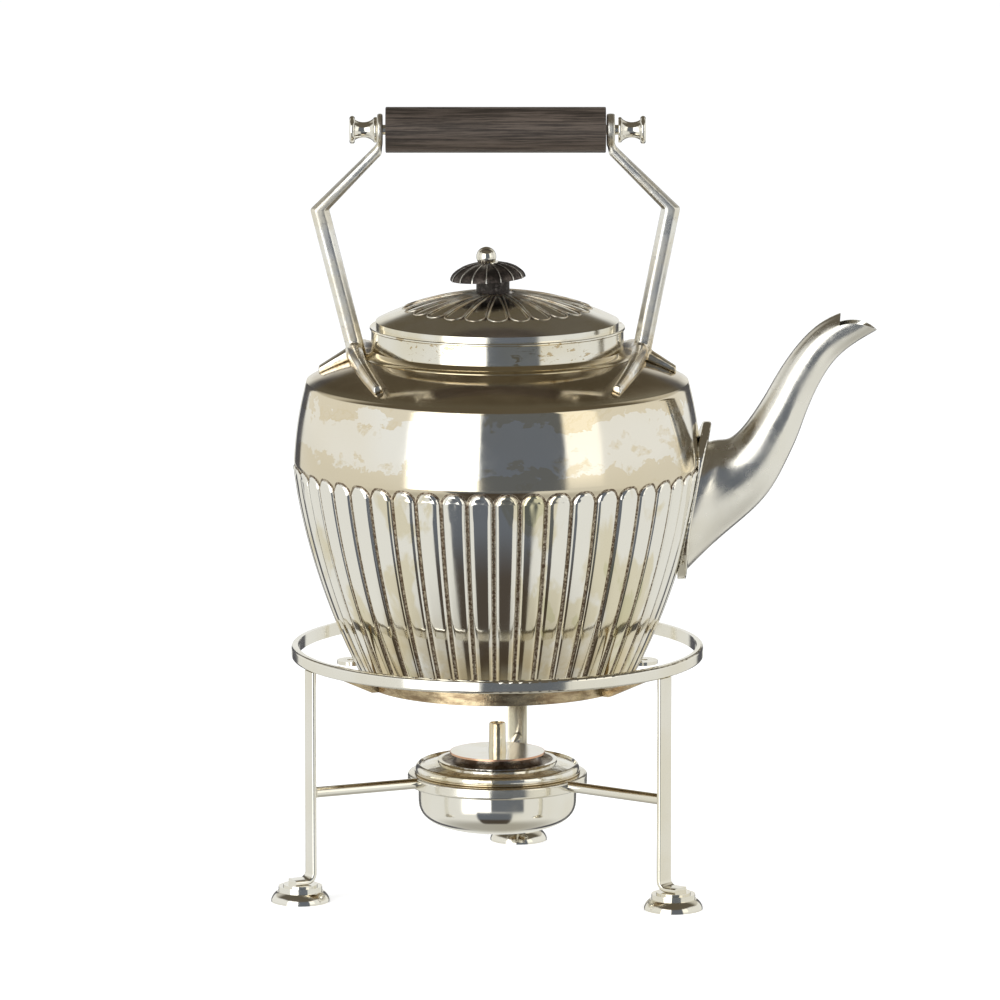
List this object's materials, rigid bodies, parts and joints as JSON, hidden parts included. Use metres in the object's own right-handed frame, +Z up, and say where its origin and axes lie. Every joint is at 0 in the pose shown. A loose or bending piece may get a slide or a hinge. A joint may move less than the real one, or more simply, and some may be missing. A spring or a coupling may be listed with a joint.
{
  "type": "spirit tea kettle on stand",
  "caption": "Fluted spirit tea kettle with S-shaped spout, lift-off domed lid and fixed overhead handle, on an open legged stand that cradles a lift-out spirit burner.",
  "frame": {"origin": "centre of the whole object's box on the floor plane under the feet; the kettle's upright axis stands at x = -32.44 mm, y = -7.82 mm", "axes": "+Z up, +X towards the spout's tip, -Y towards the viewer in the picture"},
  "size_m": [0.2566, 0.1912, 0.3339],
  "materials": {
    "silver": "polished silver plate with warm tarnish",
    "dark_metal": "blackened cast metal, rubbed bright on the ridges",
    "copper": "worn plate over copper",
    "grip_wood": "dark close-grained wood, satin",
    "wick_cotton": "twisted cotton, singed at the top"
  },
  "bodies": {
    "stand": {"stand_ring": "silver", "stand_leg_left": "silver", "stand_leg_right": "silver", "stand_leg_rear": "silver", "foot_left": "silver", "foot_right": "silver", "foot_rear": "silver", "strut_left": "silver", "strut_right": "silver", "strut_rear": "silver", "burner_cradle_ring": "silver", "kettle_seat": "silver"},
    "kettle": {"kettle_bowl": "silver", "kettle_band": "silver", "kettle_shoulder": "silver", "kettle_neck": "silver", "kettle_base": "silver", "base_lug_left": "silver", "base_lug_right": "silver", "spout_plate": "silver", "spout": "silver", "handle_arm_left": "silver", "handle_arm_right": "silver", "handle_tie_rod": "silver", "finial_left": "silver", "finial_right": "silver"},
    "grip": {"handle_grip": "grip_wood"},
    "lid": {"lid_dome": "silver", "lid_bezel": "silver", "knob_stem": "dark_metal", "knob_cap": "dark_metal", "knob_ball": "silver", "knob_nut": "dark_metal"},
    "burner": {"burner_bowl": "silver", "burner_top": "silver"},
    "wick_holder": {"wick_plate": "copper", "wick_tube": "copper", "wick": "wick_cotton"}
  },
  "joints": [
    {"name": "kettle_lift", "type": "slide", "parent": "stand", "child": "kettle", "axis": [0, 0, 1], "range_m": [0, 0.06]},
    {"name": "lid_lift", "type": "slide", "parent": "kettle", "child": "lid", "axis": [0, 0, 1], "range_m": [0, 0.03]},
    {"name": "grip_turn", "type": "hinge", "parent": "kettle", "child": "grip", "pos_m": [-0.03244, -0.00782, 0.3242], "axis": [1, 0, 0], "continuous": true},
    {"name": "burner_lift", "type": "slide", "parent": "stand", "child": "burner", "axis": [0, 0, 1], "range_m": [0, 0.01]},
    {"name": "wick_holder_lift", "type": "slide", "parent": "burner", "child": "wick_holder", "axis": [0, 0, 1], "range_m": [0, 0.008]}
  ]
}
